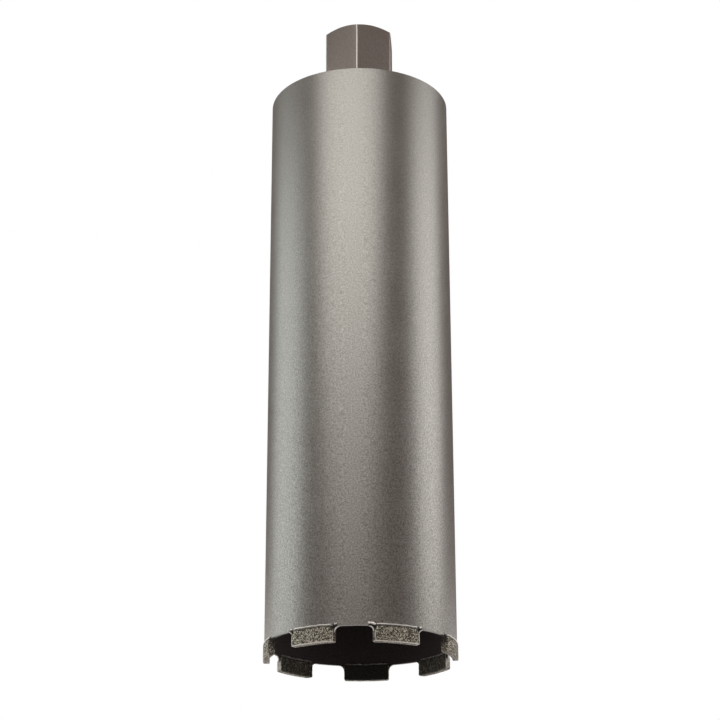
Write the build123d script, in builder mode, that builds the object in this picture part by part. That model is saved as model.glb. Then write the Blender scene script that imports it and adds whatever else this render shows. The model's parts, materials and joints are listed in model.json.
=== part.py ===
from build123d import *

import os
from math import asin, degrees, radians, sqrt, tan

# Wet diamond core bit. It stands on its cutting segments with the hub up.
# The origin is on the barrel's axis, in the plane of the cutting faces. Sizes are in millimetres.
# A gap between two segments and one corner of the hexagon face -Y, and the first segment faces +Y.

# Cutting crown
crown_diameter = 112.0
segment_count = 7
segment_width = 26.8
segment_thickness = 3.6
segment_height = 8.8
segment_edge_chamfer = 0.5

# Hollow that the torch leaves in a segment's upper outer corners
scoop_width = 1.4
scoop_height = 2.9
scoop_depth = 1.1

# Braze that holds each segment to the barrel's end
braze_gap = 0.2
braze_climb = 0.8

# Hollow fillet of braze at each end of a segment, set back from the barrel's outside
web_radius = 3.0
web_recess = 0.7

# Lip of braze that stands out from the barrel over each fillet
lip_reach = 3.6
lip_overlap = 2.4
lip_rise = 1.75
lip_height = 0.9
lip_stand = 0.5

# Barrel
outside_relief = 0.7
barrel_wall = 2.2
barrel_length = 345.6
barrel_edge_break = 0.25

# Back plate that closes the barrel's upper end
plate_thickness = 8.0
plate_recess = 2.0
plate_clearance = 0.05

# Weld between the back plate and the barrel
rim_weld_width = 3.2
rim_weld_drop = 0.3

# Hub: a hexagon with a turned end, a collar and a spigot through the plate
hexagon_sides = 6
hub_across_flats = 41.0
hub_stand_out = 51.3
hub_chamfer_diameter = 40.6
hub_chamfer_angle = 30.0
hub_corner_radius = 1.6
collar_diameter = 39.6
collar_height = 8.0
spigot_diameter = 32.0
spigot_clearance = 0.05
spigot_edge_chamfer = 0.6

# Spindle thread, 1 1/4 inch with 7 threads to the inch, made here as a plain bore at its crests
thread_crest_diameter = 27.8
thread_root_diameter = 31.75
thread_length = 36.0
mouth_margin = 0.5
relief_margin = 0.4
relief_length = 5.0
passage_diameter = 20.0

# Weld round the foot of the hub
hub_weld_leg = 5.0

# Places worked out from the sizes above
crown_radius = crown_diameter / 2
segment_inner_radius = crown_radius - segment_thickness
segment_half_width = segment_width / 2
scoop_across = (scoop_height**2 - scoop_width**2) / (2 * scoop_width)
scoop_out = (scoop_height**2 - scoop_depth**2) / (2 * scoop_depth)
scoop_radius = sqrt(scoop_across**2 + scoop_out**2 + scoop_height**2)
barrel_outer_radius = crown_radius - outside_relief
barrel_inner_radius = barrel_outer_radius - barrel_wall
barrel_bottom = segment_height + braze_gap
web_outer_radius = barrel_outer_radius - web_recess
barrel_top = barrel_bottom + barrel_length
plate_top = barrel_top - plate_recess
plate_bottom = plate_top - plate_thickness
hub_top = barrel_top + hub_stand_out
hub_chamfer_radius = hub_chamfer_diameter / 2
collar_radius = collar_diameter / 2
collar_top = plate_top + collar_height
spigot_radius = spigot_diameter / 2
thread_crest_radius = thread_crest_diameter / 2
thread_root_radius = thread_root_diameter / 2
mouth_radius = thread_root_radius + mouth_margin
mouth_depth = mouth_radius - thread_crest_radius
thread_bottom = hub_top - mouth_depth - thread_length
relief_radius = thread_root_radius + relief_margin
relief_bottom = thread_bottom - relief_length
passage_radius = passage_diameter / 2


def half_angle(radius, half_width):
    """Return the angle in degrees that half a straight width takes up on a circle."""
    return degrees(asin(half_width / radius))


def distance_out(radius, across):
    """Return how far out a circle lies at a distance to one side of its middle."""
    return sqrt(radius**2 - across**2)


def weld_ring(corner, foot, head):
    """Make a ring of weld that fills a corner between its foot and its head."""
    with BuildPart() as ring:
        with BuildSketch(Plane.XZ):
            Polygon(corner, foot, head)
        revolve(axis=Axis.Z)
    return ring.part


def cutting_segment(seat):
    """Make one segment on the seat's +Y side: an arc of sintered block with parallel ends."""
    with BuildPart() as segment:
        with BuildSketch(seat):
            Circle(crown_radius)
            Circle(segment_inner_radius, mode=Mode.SUBTRACT)
            with Locations((0, crown_radius)):
                Rectangle(segment_width, crown_diameter, mode=Mode.INTERSECT)
        extrude(amount=segment_height)
        cutting_edges = segment.faces().sort_by(Axis.Z)[0].edges()
        upright_edges = segment.edges().filter_by(Axis.Z)
        chamfer(cutting_edges + upright_edges, length=segment_edge_chamfer)
        across = segment_half_width + scoop_across
        out = distance_out(crown_radius, segment_half_width) + scoop_out
        with Locations(*[seat.location * Pos(side * across, out, segment_height) for side in (-1, 1)]):
            Sphere(scoop_radius, mode=Mode.SUBTRACT)
    return segment.part


def braze_lips(front):
    """Make the two lips of one joint: flat bars on the barrel's wall that rise away from the segment."""
    heel = segment_half_width - lip_overlap
    toe = segment_half_width + lip_reach
    toe_top = barrel_bottom + lip_rise
    with BuildPart() as lips:
        with BuildSketch(front):
            Polygon(
                (heel, barrel_bottom),
                (toe, toe_top - lip_height),
                (toe, toe_top),
                (heel, barrel_bottom + lip_height),
            )
            mirror(about=Plane.YZ)
        extrude(amount=crown_diameter)
        with BuildSketch(Plane.XY.offset(barrel_bottom)):
            Circle(barrel_outer_radius + lip_stand)
            Circle(barrel_outer_radius, mode=Mode.SUBTRACT)
        extrude(amount=barrel_length, mode=Mode.INTERSECT)
    return lips.part


def braze_joint(seat, segment, barrel):
    """Make one segment's braze: a thin layer that climbs both walls, with a fillet and a lip at each end.

    A block gets the joint's outline from the front, in section and in plan. The lips are added, and
    the steel and the segment are then cut out of it.
    """
    front = Plane(origin=seat.origin, x_dir=-seat.x_dir, z_dir=seat.y_dir)
    section = Plane(origin=seat.origin, x_dir=seat.y_dir, z_dir=seat.x_dir)
    web_bottom = barrel_bottom - web_radius
    climb_top = barrel_bottom + braze_climb
    toe = segment_half_width + web_radius
    band_end = segment_half_width - scoop_width
    outer_half_angle = half_angle(crown_radius, band_end)
    inner_half_angle = half_angle(segment_inner_radius, segment_half_width)
    web = [(across, distance_out(web_outer_radius, across)) for across in (band_end, segment_half_width, toe)]
    web.append((toe, distance_out(barrel_inner_radius, toe)))
    with BuildPart() as braze:
        with BuildSketch(front):
            with BuildLine():
                Line((0, web_bottom), (segment_half_width, web_bottom))
                RadiusArc((segment_half_width, web_bottom), (toe, barrel_bottom), web_radius)
                Polyline((toe, barrel_bottom), (toe, climb_top), (0, climb_top))
                mirror(about=Plane.YZ)
            make_face()
        extrude(amount=crown_diameter)
        with BuildSketch(section):
            Polygon(
                (segment_inner_radius, web_bottom),
                (crown_radius, web_bottom),
                (crown_radius, barrel_bottom),
                (barrel_outer_radius, climb_top),
                (barrel_inner_radius, climb_top),
                (segment_inner_radius, barrel_bottom),
            )
        revolve(axis=Axis.Z, mode=Mode.INTERSECT)
        with BuildSketch(seat):
            with BuildLine():
                outer = CenterArc((0, 0), crown_radius, 90 - outer_half_angle, 2 * outer_half_angle)
                inner = CenterArc((0, 0), segment_inner_radius, 90 - inner_half_angle, 2 * inner_half_angle)
                Polyline(outer @ 0, *web, inner @ 0)
                Polyline(outer @ 1, *[(-across, out) for across, out in web], inner @ 1)
            make_face()
        extrude(amount=barrel_top, mode=Mode.INTERSECT)
        add(braze_lips(front))
        add(barrel, mode=Mode.SUBTRACT)
        add(segment, mode=Mode.SUBTRACT)
    return braze.part


# Barrel: a thin steel tube, square at its lower end and with the edges of its upper rim broken
with BuildPart() as barrel_tube:
    with BuildSketch(Plane.XY.offset(barrel_bottom)):
        Circle(barrel_outer_radius)
        Circle(barrel_inner_radius, mode=Mode.SUBTRACT)
    extrude(amount=barrel_length)
    chamfer(barrel_tube.faces().sort_by(Axis.Z)[-1].edges(), length=barrel_edge_break)

# Back plate: a disc let into the barrel's upper end, bored for the hub's spigot
with BuildPart() as back_plate:
    with BuildSketch(Plane.XY.offset(plate_bottom)):
        Circle(barrel_inner_radius - plate_clearance)
        Circle(spigot_radius + spigot_clearance, mode=Mode.SUBTRACT)
    extrude(amount=plate_thickness)

# Weld that seals the plate inside the rim
rim_weld = weld_ring(
    corner=(barrel_inner_radius, plate_top),
    foot=(barrel_inner_radius - rim_weld_width, plate_top),
    head=(barrel_inner_radius, barrel_top - rim_weld_drop),
)

# Hub: hexagon bar turned to a collar below and chamfered above, with a threaded bore
with BuildPart() as threaded_hub:
    with BuildSketch(Plane.XY.offset(plate_top)):
        RegularPolygon(hub_across_flats / 2, hexagon_sides, major_radius=False, rotation=180 / hexagon_sides)
    extrude(amount=hub_top - plate_top)
    fillet(threaded_hub.edges().filter_by(Axis.Z), radius=hub_corner_radius)
    with BuildSketch(Plane.XZ):
        turned_reach = hub_chamfer_radius
        turned_drop = turned_reach * tan(radians(hub_chamfer_angle))
        Polygon(
            (0, plate_top),
            (collar_radius, plate_top),
            (collar_radius, collar_top),
            (hub_chamfer_radius + turned_reach, collar_top),
            (hub_chamfer_radius + turned_reach, hub_top - turned_drop),
            (hub_chamfer_radius, hub_top),
            (0, hub_top),
        )
    revolve(axis=Axis.Z, mode=Mode.INTERSECT)
    with BuildSketch(Plane.XY.offset(plate_bottom)):
        Circle(spigot_radius)
    extrude(amount=plate_thickness)
    chamfer(threaded_hub.faces().sort_by(Axis.Z)[0].edges(), length=spigot_edge_chamfer)
    with BuildSketch(Plane.XZ):
        Polygon(
            (0, hub_top),
            (mouth_radius, hub_top),
            (thread_crest_radius, hub_top - mouth_depth),
            (thread_crest_radius, thread_bottom),
            (relief_radius, thread_bottom),
            (relief_radius, relief_bottom),
            (passage_radius, relief_bottom),
            (passage_radius, plate_bottom),
            (0, plate_bottom),
        )
    revolve(axis=Axis.Z, mode=Mode.SUBTRACT)

# Weld round the collar, with even legs on the plate and on the hub
hub_weld = weld_ring(
    corner=(collar_radius, plate_top),
    foot=(collar_radius + hub_weld_leg, plate_top),
    head=(collar_radius, plate_top + hub_weld_leg),
)

barrel_tube.part.label = "barrel_tube"
back_plate.part.label = "back_plate"
rim_weld.label = "rim_weld"
threaded_hub.part.label = "threaded_hub"
hub_weld.label = "hub_weld"

pieces = [barrel_tube.part, back_plate.part, rim_weld, threaded_hub.part, hub_weld]

# Crown: the segments and their solder, evenly spaced round the barrel's lower end
for number in range(1, segment_count + 1):
    seat = Plane.XY.rotated((0, 0, (number - 1) * 360 / segment_count))
    segment = cutting_segment(seat)
    braze = braze_joint(seat, segment, barrel_tube.part)
    segment.label = f"segment_{number}"
    braze.label = f"braze_{number}"
    pieces += [segment, braze]

os.makedirs("parts", exist_ok=True)
for piece in pieces:
    export_step(piece, f"parts/{piece.label}.step")
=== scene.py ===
"""Look of a wet diamond core bit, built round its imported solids.

Lengths are in metres. The bit stands on its cutting segments at z = 0 with the hub up, and its axis
is Z. The view of the photograph looks along +Y, from a little to the right and from below.
"""

from __future__ import annotations

import json
import logging
import math
from dataclasses import dataclass
from enum import Enum

import bmesh
import bpy
import numpy as np
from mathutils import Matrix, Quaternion, Vector, noise

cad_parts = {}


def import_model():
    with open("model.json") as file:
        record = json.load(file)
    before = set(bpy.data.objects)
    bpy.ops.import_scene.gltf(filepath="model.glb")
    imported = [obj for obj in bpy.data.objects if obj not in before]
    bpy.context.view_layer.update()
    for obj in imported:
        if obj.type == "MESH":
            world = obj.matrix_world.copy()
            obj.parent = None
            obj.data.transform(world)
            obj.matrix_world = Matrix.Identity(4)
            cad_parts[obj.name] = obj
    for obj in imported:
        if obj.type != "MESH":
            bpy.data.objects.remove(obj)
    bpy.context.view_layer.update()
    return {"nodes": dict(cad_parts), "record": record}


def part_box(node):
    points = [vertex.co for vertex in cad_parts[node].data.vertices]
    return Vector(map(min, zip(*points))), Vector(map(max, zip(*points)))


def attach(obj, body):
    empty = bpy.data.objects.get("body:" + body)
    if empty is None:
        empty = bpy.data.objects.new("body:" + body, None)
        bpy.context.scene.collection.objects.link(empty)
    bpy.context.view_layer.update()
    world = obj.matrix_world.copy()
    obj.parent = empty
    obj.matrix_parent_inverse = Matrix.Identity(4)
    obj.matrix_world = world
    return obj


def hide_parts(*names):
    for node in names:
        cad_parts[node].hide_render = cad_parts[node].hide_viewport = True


LOG = logging.getLogger("core_bit")
MM = 0.001
BODY = "root"
# The least length that a vector is divided by.
TINY = 1e-12
# The detail of the noise in fine grain.
FINE = 3.0

Colour = tuple[float, float, float]


class Slot(Enum):
    """Material slots of the record."""

    BARREL = "barrel_finish"
    HUB = "hub_finish"
    WELD = "weld_finish"
    MATRIX = "diamond_matrix"
    SOLDER = "silver_solder"


class Mark(Enum):
    """Values that a mesh carries at its points for its finish to read."""

    GRIT = "grit"
    RIM = "rim"
    # Stain darkens a surface: charred flux, and painted shade in hollows, on inner faces and under seams and
    # lips.
    STAIN_AND_SHADE = "stain"


class Signal:
    """The value of a socket in an expression, where each operator adds a Math node."""

    def __init__(self, desk: NodeDesk, socket: bpy.types.NodeSocket) -> None:
        """Keep the socket and the desk that it is on."""
        self.desk = desk
        self.socket = socket

    def __add__(self, other: Signal | float) -> Signal:
        """Return the sum."""
        return self.desk.math("ADD", self, other)

    def __radd__(self, other: float) -> Signal:
        """Return the sum with a number on the left."""
        return self.desk.math("ADD", other, self)

    def __sub__(self, other: Signal | float) -> Signal:
        """Return the difference."""
        return self.desk.math("SUBTRACT", self, other)

    def __rsub__(self, other: float) -> Signal:
        """Return the difference from a number on the left."""
        return self.desk.math("SUBTRACT", other, self)

    def __mul__(self, other: Signal | float) -> Signal:
        """Return the product."""
        return self.desk.math("MULTIPLY", self, other)

    def __rmul__(self, other: float) -> Signal:
        """Return the product with a number on the left."""
        return self.desk.math("MULTIPLY", other, self)

    def step(self, low: float, high: float) -> Signal:
        """Return 0 below one value and 1 above another, with an even slope between them."""
        return self.desk.math("ADD", self * (1 / (high - low)), -low / (high - low), clamp=True)

    def between(self, low: float, high: float) -> Signal:
        """Return one number where the signal is 0 and another where it is 1."""
        return low + self * (high - low)


class NodeDesk:
    """The node tree of a material or of the world, and the nodes that a finish asks for."""

    def __init__(self, tree: bpy.types.NodeTree) -> None:
        """Empty the tree."""
        self.tree = tree
        tree.nodes.clear()

    def node(self, kind: str, settings: dict | None = None, sockets: dict | None = None) -> bpy.types.Node:
        """Add a node.

        Args:
            kind: The node's type.
            settings: Its properties, and the stops of its ramp as pairs of a place and a colour.
            sockets: Values or signals of its inputs, by name or by place.

        Returns:
            The node.
        """
        node = self.tree.nodes.new(kind)
        for name, value in (settings or {}).items():
            if name == "stops":
                self._set_stops(node.color_ramp, value)
            else:
                setattr(node, name, value)
        for name, value in (sockets or {}).items():
            if isinstance(value, Signal):
                self.tree.links.new(value.socket, node.inputs[name])
            else:
                node.inputs[name].default_value = value
        return node

    @staticmethod
    def _set_stops(ramp: bpy.types.ColorRamp, stops: list[tuple[float, Colour]]) -> None:
        """Give a colour ramp its stops.

        Args:
            ramp: The ramp of a node that was just added.
            stops: Pairs of a place and a colour, in rising order.
        """
        while len(ramp.elements) < len(stops):
            ramp.elements.new(1.0)
        for element, (place, colour) in zip(ramp.elements, stops):
            element.position = place
            element.color = (*colour, 1.0)

    def signal(
        self, kind: str, settings: dict | None = None, sockets: dict | None = None, output: int | str = 0
    ) -> Signal:
        """Add a node and return one of its outputs.

        Args:
            kind: The node's type.
            settings: Its properties.
            sockets: Values or signals of its inputs.
            output: The output's name or place.

        Returns:
            The output as a signal.
        """
        return Signal(self, self.node(kind, settings, sockets).outputs[output])

    def math(
        self, operation: str, first: Signal | float, second: Signal | float, clamp: bool = False
    ) -> Signal:
        """Add a Math node and return its value."""
        settings = {"operation": operation, "use_clamp": clamp}
        return self.signal("ShaderNodeMath", settings, {0: first, 1: second})

    def place(self) -> Signal:
        """Return the place of a point in the object's own frame."""
        return self.signal("ShaderNodeTexCoord", output="Object")

    def radius(self, place: Signal) -> Signal:
        """Return how far a place is from the bit's axis."""
        flat = self.signal("ShaderNodeVectorMath", {"operation": "MULTIPLY"}, {0: place, 1: (1, 1, 0)})
        return self.signal("ShaderNodeVectorMath", {"operation": "LENGTH"}, {0: flat}, output="Value")

    def height(self, place: Signal) -> Signal:
        """Return how high a place or a direction is."""
        return self.signal("ShaderNodeSeparateXYZ", None, {0: place}, output="Z")

    def mark(self, mark: Mark) -> Signal:
        """Return a value that the mesh carries."""
        return self.signal("ShaderNodeAttribute", {"attribute_name": mark.value}, output="Fac")

    def noise(self, place: Signal, size: float, detail: float = 2.0) -> Signal:
        """Return noise with lumps of about a given size."""
        sockets = {"Vector": place, "Scale": 1 / size, "Detail": detail}
        return self.signal("ShaderNodeTexNoise", None, sockets)

    def shade(self, colour: Colour, tone: Signal) -> Signal:
        """Return a colour made lighter or darker by a tone."""
        return self.signal("ShaderNodeVectorMath", {"operation": "SCALE"}, {0: colour, "Scale": tone})

    def mix(self, factor: Signal, first: Signal | Colour, second: Signal | Colour) -> Signal:
        """Mix two colours.

        Args:
            factor: The share of the second colour.
            first: The colour where the factor is 0.
            second: The colour where the factor is 1.

        Returns:
            The mixed colour.
        """
        first, second = ((*c, 1.0) if isinstance(c, tuple) else c for c in (first, second))
        # The node's colour inputs are at the places 6 and 7, and its colour comes out at 2.
        sockets = {0: factor, 6: first, 7: second}
        return self.signal("ShaderNodeMix", {"data_type": "RGBA"}, sockets, output=2)

    def bump(self, height: Signal, depth: float) -> Signal:
        """Return a normal that is roughened by a height."""
        return self.signal("ShaderNodeBump", None, {"Height": height, "Distance": depth})

    def finish(self, sockets: dict) -> None:
        """Add the surface shader with the given sockets and put it out."""
        shader = self.signal("ShaderNodeBsdfPrincipled", None, sockets)
        self.node("ShaderNodeOutputMaterial", None, {"Surface": shader})


class Finish:
    """What every finish shares: a name, and a way to lay out its nodes."""

    name: str

    def lay_out(self, desk: NodeDesk) -> None:
        """Lay the nodes of the finish out on a desk."""
        raise NotImplementedError

    def material(self) -> bpy.types.Material:
        """Make the finish's material.

        Returns:
            The material.
        """
        material = bpy.data.materials.new(self.name)
        material.use_nodes = True
        self.lay_out(NodeDesk(material.node_tree))
        return material


@dataclass(frozen=True)
class SatinLacquer(Finish):
    """Warm grey metallic lacquer, with the grain of its flakes and of the blasted steel below it."""

    name: str = "satin_lacquer"
    colour: Colour = (0.285, 0.272, 0.25)
    metallic: float = 0.85
    roughness: float = 0.4
    flake_size: float = 0.85 * MM
    flake_contrast: float = 0.7
    cloud_size: float = 20 * MM
    cloud_contrast: float = 0.08
    cloud_roughness: float = 0.06
    grain_size: float = 1.1 * MM
    grain_depth: float = 0.03 * MM

    def flake_strength(self, desk: NodeDesk, place: Signal) -> Signal | float:
        """Return how strongly the flakes show at a place."""
        return self.flake_contrast

    def surface(self, desk: NodeDesk, place: Signal, tone: Signal) -> dict:
        """Return the shader's colour, metallic share and roughness, by the names of their sockets."""
        colour = desk.shade(self.colour, tone)
        return {"Base Color": colour, "Metallic": self.metallic, "Roughness": self.roughness}

    def lay_out(self, desk: NodeDesk) -> None:
        """Lay out a metallic shader with flakes, soft clouds and a fine grain.

        Args:
            desk: The desk of the material.
        """
        place = desk.place()
        flake = desk.noise(place, self.flake_size) - 0.5
        cloud = desk.noise(place, self.cloud_size) - 0.5
        grain = desk.noise(place, self.grain_size, detail=FINE)
        tone = 1 + flake * self.flake_strength(desk, place) + cloud * self.cloud_contrast
        sockets = self.surface(desk, place, tone)
        sockets["Roughness"] = sockets["Roughness"] + cloud * self.cloud_roughness
        desk.finish({**sockets, "Normal": desk.bump(grain, self.grain_depth)})


@dataclass(frozen=True, kw_only=True)
class BarrelLacquer(SatinLacquer):
    """The lacquer on the outside of the barrel, and mill scale inside it, made dark as painted shade of the
    unlit bore.
    """

    inner_radius: float
    outer_radius: float
    top: float
    name: str = "barrel_lacquer"
    # Mill scale colour, made darker to paint the shade inside the tube.
    scale_and_shade: Colour = (0.052, 0.039, 0.041)
    scale_metallic: float = 0.3
    scale_roughness: float = 0.7
    mist_margin: float = 0.2
    crown_grain: float = 1.35

    def flake_strength(self, desk: NodeDesk, place: Signal) -> Signal:
        """Return how strongly the flakes show, which grows towards the crown."""
        return self.flake_contrast + (1 - desk.height(place) * (1 / self.top)) * self.crown_grain

    def surface(self, desk: NodeDesk, place: Signal, tone: Signal) -> dict:
        """Let the lacquer and the mill scale, darkened as painted shade, meet inside the wall.

        Args:
            desk: The desk of the material.
            place: The place of a point.
            tone: How light the flakes and clouds make it.

        Returns:
            The shader's colour, metallic share and roughness, by the names of their sockets.
        """
        margin = self.mist_margin * (self.outer_radius - self.inner_radius)
        outside = desk.radius(place).step(self.inner_radius + margin, self.outer_radius - margin)
        return {
            "Base Color": desk.mix(outside, desk.shade(self.scale_and_shade, tone), desk.shade(self.colour, tone)),
            "Metallic": outside.between(self.scale_metallic, self.metallic),
            "Roughness": outside.between(self.scale_roughness, self.roughness),
        }


@dataclass(frozen=True)
class HubLacquer(Finish):
    """Lacquer on the outside of the hub, and turned steel with a film of oil in its bore."""

    name: str = "hub_lacquer"
    colour: Colour = (0.305, 0.267, 0.242)
    steel: Colour = (0.42, 0.41, 0.39)
    # Lighter colour of the corners: rubbing, and a painted highlight.
    rubbed_and_lit: Colour = (0.44, 0.425, 0.4)
    metallic: float = 0.85
    roughness: float = 0.38
    steel_roughness: float = 0.28
    bore_radius: float = 16.6 * MM
    overspray: float = 1.2 * MM
    ragged_size: float = 4.8 * MM
    rubbed_lit_radius: float = 23.42 * MM
    rubbed_lit_fade: float = 0.05 * MM
    rubbed_lit_wander: float = 0.1 * MM
    flake_size: float = 0.85 * MM
    flake_contrast: float = 0.7
    grain_size: float = 0.9 * MM
    grain_depth: float = 0.025 * MM

    def lay_out(self, desk: NodeDesk) -> None:
        """Lay out both surfaces, the ragged edge where the lacquer stops and the corners, lightened by
        rubbing and by a painted highlight.

        Args:
            desk: The desk of the material.
        """
        place = desk.place()
        radius = desk.radius(place)
        ragged = desk.noise(place, self.ragged_size) - 0.5
        # The corners take the lighter colour, which is rubbing and a painted highlight.
        corner = radius + ragged * self.rubbed_lit_wander
        worn_and_lit = corner.step(self.rubbed_lit_radius, self.rubbed_lit_radius + self.rubbed_lit_fade)
        edge = radius + ragged * self.overspray
        painted = edge.step(self.bore_radius, self.bore_radius + self.overspray)
        tone = 1 + (desk.noise(place, self.flake_size) - 0.5) * self.flake_contrast
        colour = desk.mix(painted, desk.shade(self.steel, tone), desk.shade(self.colour, tone))
        grain = desk.noise(place, self.grain_size, detail=FINE)
        desk.finish(
            {
                "Base Color": desk.mix(worn_and_lit, colour, self.rubbed_and_lit),
                "Metallic": painted.between(1.0, self.metallic),
                "Roughness": painted.between(self.steel_roughness, self.roughness),
                "Normal": desk.bump(grain, self.grain_depth),
            }
        )


@dataclass(frozen=True)
class SinteredMatrix(Finish):
    """Sintered metal full of diamond grains and of the pits that lost grains leave."""

    name: str = "sintered_matrix"
    pit: Colour = (0.02, 0.018, 0.012)
    matrix: Colour = (0.13, 0.113, 0.085)
    grain: Colour = (0.66, 0.61, 0.5)
    # Bright edge colour: wear, and a painted highlight along the edges.
    edge: Colour = (0.95, 0.9, 0.83)
    pit_level: float = 0.32
    matrix_levels: tuple[float, float] = (0.47, 0.53)
    grain_level: float = 0.68
    speck_size: float = 0.35 * MM
    speck_depth: float = 0.12 * MM
    speck_contrast: float = 0.9
    edge_cover: float = 0.85
    metallic: float = 0.5
    edge_metallic: float = 0.2
    roughness: float = 0.55
    edge_roughness: float = 0.45
    burnt_roughening: float = 0.25

    def lay_out(self, desk: NodeDesk) -> None:
        """Lay out the pits, grains and rubbed edges from the values that the mesh carries.

        Args:
            Lay out the pits, grains and lightened edges from the values that the mesh carries, with wear and
            a painted highlight on the edges, and charred flux and painted shade where darkened.
        """
        speck = desk.noise(desk.place(), self.speck_size, detail=FINE) - 0.5
        grit = desk.mark(Mark.GRIT) + speck * self.speck_contrast
        matrix = [(level, self.matrix) for level in self.matrix_levels]
        stops = [(self.pit_level, self.pit), *matrix, (self.grain_level, self.grain)]
        colour = desk.signal("ShaderNodeValToRGB", {"stops": stops}, {"Fac": grit})
        # The edges take the bright colour, for wear and a painted highlight.
        rubbed_and_lit = desk.mark(Mark.RIM) * (self.edge_cover + speck)
        # Darkened places take the pit colour, for charred flux and for painted shade.
        stain = desk.mark(Mark.STAIN_AND_SHADE)
        roughness = rubbed_and_lit.between(self.roughness, self.edge_roughness)
        desk.finish(
            {
                "Base Color": desk.mix(stain, desk.mix(rubbed_and_lit, colour, self.edge), self.pit),
                "Metallic": rubbed_and_lit.between(self.metallic, self.edge_metallic) * (1 - stain),
                "Roughness": roughness + stain * self.burnt_roughening,
                "Normal": desk.bump(speck, self.speck_depth),
            }
        )


@dataclass(frozen=True)
class SilverSolder(Finish):
    """Bright solder, darkened by charred flux and, under its seams and lips and in its hollows, by painted
    shade.
    """

    name: str = "silver_solder"
    bright: Colour = (0.96, 0.92, 0.86)
    # Dark colour of charred flux, also used for painted shade and shadows on the solder.
    burnt: Colour = (0.02, 0.017, 0.013)
    metallic: float = 0.4
    burnt_metallic: float = 0.1
    roughness: float = 0.28
    burnt_roughness: float = 0.7
    lump_size: float = 0.9 * MM
    lump_depth: float = 0.06 * MM
    stain_wander: float = 0.5
    clean_below: float = 0.3
    burnt_above: float = 0.7

    def lay_out(self, desk: NodeDesk) -> None:
        """Lay out bright metal that the mesh's dark mark darkens, for charred flux and for painted shade.

        Args:
            desk: The desk of the material.
        """
        lump = desk.noise(desk.place(), self.lump_size, detail=FINE)
        stain = desk.mark(Mark.STAIN_AND_SHADE) + (lump - 0.5) * self.stain_wander
        stain = stain.step(self.clean_below, self.burnt_above)
        desk.finish(
            {
                "Base Color": desk.mix(stain, self.bright, self.burnt),
                "Metallic": stain.between(self.metallic, self.burnt_metallic),
                "Roughness": stain.between(self.roughness, self.burnt_roughness),
                "Normal": desk.bump(lump, self.lump_depth),
            }
        )


@dataclass
class Grid:
    """Points in rows and columns, with the values that the finish reads at them."""

    points: np.ndarray
    marks: dict[Mark, np.ndarray | float]
    closed_rows: bool = False
    closed_columns: bool = False


class MeshDraft:
    """One piece's mesh, put together from grids of points."""

    MERGE_DISTANCE = 0.002 * MM
    COLLAPSE_DISTANCE = 0.001 * MM

    def __init__(self) -> None:
        """Start with no points and no faces."""
        self.points: list[np.ndarray] = []
        self.faces: list[np.ndarray] = []
        self.marks: dict[Mark, list[np.ndarray]] = {mark: [] for mark in Mark}
        self.count = 0

    def add(self, grid: Grid) -> None:
        """Add a grid of points and the four-sided faces between them.

        Args:
            grid: The points, the values at them, and which way round they close.
        """
        rows, columns = grid.points.shape[:2]
        numbers = np.arange(rows * columns).reshape(rows, columns) + self.count
        if grid.closed_rows:
            numbers = np.vstack([numbers, numbers[:1]])
        if grid.closed_columns:
            numbers = np.hstack([numbers, numbers[:, :1]])
        corners = (numbers[:-1, :-1], numbers[1:, :-1], numbers[1:, 1:], numbers[:-1, 1:])
        self.faces.append(np.stack(corners, axis=-1).reshape(-1, 4))
        self.points.append(grid.points.reshape(-1, 3))
        for mark, values in self.marks.items():
            values.append(np.broadcast_to(grid.marks.get(mark, 0.0), (rows, columns)).reshape(-1))
        self.count += rows * columns

    def build(self, name: str, material: bpy.types.Material, sharp: float) -> bpy.types.Object:
        """Join the grids into one object.

        Args:
            name: The object's name.
            material: Its finish.
            sharp: Angle in degrees from which an edge between faces looks sharp.

        Returns:
            The object, linked to the scene.
        """
        mesh = bpy.data.meshes.new(name)
        mesh.from_pydata(np.concatenate(self.points).tolist(), [], np.concatenate(self.faces).tolist())
        for mark, values in self.marks.items():
            attribute = mesh.attributes.new(mark.value, "FLOAT", "POINT")
            attribute.data.foreach_set("value", np.concatenate(values).astype(np.float32))
        work = bmesh.new()
        work.from_mesh(mesh)
        bmesh.ops.remove_doubles(work, verts=work.verts, dist=self.MERGE_DISTANCE)
        bmesh.ops.dissolve_degenerate(work, edges=work.edges, dist=self.COLLAPSE_DISTANCE)
        bmesh.ops.recalc_face_normals(work, faces=work.faces)
        work.to_mesh(mesh)
        work.free()
        mesh.shade_smooth()
        mesh.set_sharp_from_angle(angle=math.radians(sharp))
        mesh.materials.append(material)
        piece = bpy.data.objects.new(name, mesh)
        bpy.context.scene.collection.objects.link(piece)
        return piece


def unit(vectors: np.ndarray) -> np.ndarray:
    """Return vectors of shape (..., 3) at a length of 1, apart from those that have no length."""
    return vectors / np.maximum(np.linalg.norm(vectors, axis=-1, keepdims=True), TINY)


def stacked(*coordinates: np.ndarray | float) -> np.ndarray:
    """Return points of shape (..., coordinates) from their coordinates, which are arrays or numbers."""
    return np.stack(np.broadcast_arrays(*coordinates), axis=-1)


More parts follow.
